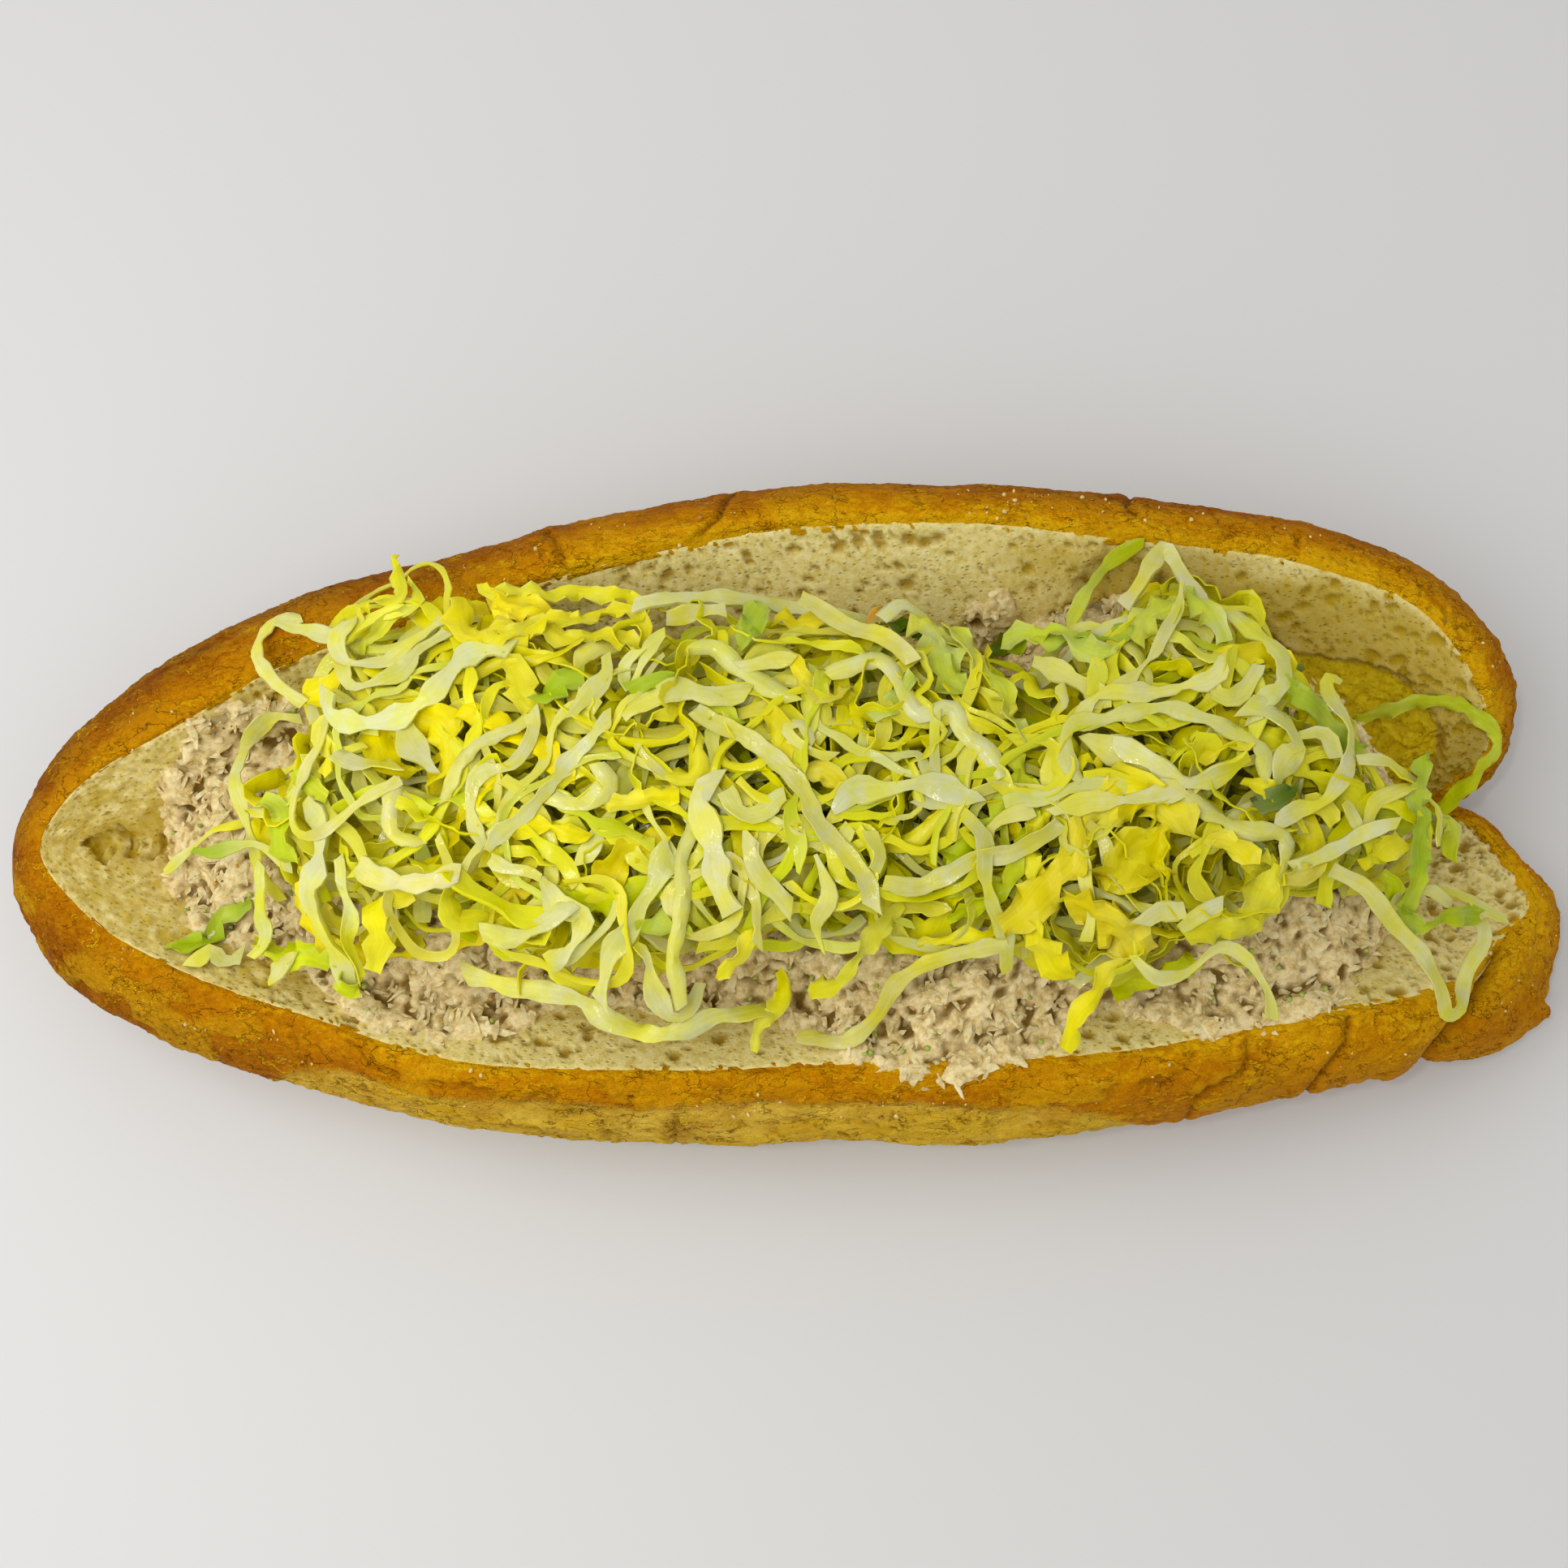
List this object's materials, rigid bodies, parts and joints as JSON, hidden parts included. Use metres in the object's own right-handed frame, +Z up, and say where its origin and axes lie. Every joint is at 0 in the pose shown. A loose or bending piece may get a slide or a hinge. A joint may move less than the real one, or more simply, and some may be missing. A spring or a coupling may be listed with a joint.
{
  "type": "submarine sandwich",
  "caption": "Long soft roll slit lengthwise and opened like a boat, filled with scoops of tuna salad and heaped with shredded lettuce.",
  "frame": {"origin": "middle of the roll's footprint, on the surface it lies on", "axes": "+X along the roll towards its torn open end, +Y towards its darker domed half, +Z up"},
  "size_m": [0.308, 0.1276, 0.0645],
  "materials": {
    "bread": "baked crust, brown to golden, over an open cream crumb",
    "tuna": "moist flaked fish in dressing",
    "lettuce": "moist translucent shreds, white ribs to yellow green leaf"
  },
  "bodies": {
    "root": {"bread_roll": "bread", "tuna_salad": "tuna", "shredded_lettuce": "lettuce"}
  },
  "joints": []
}
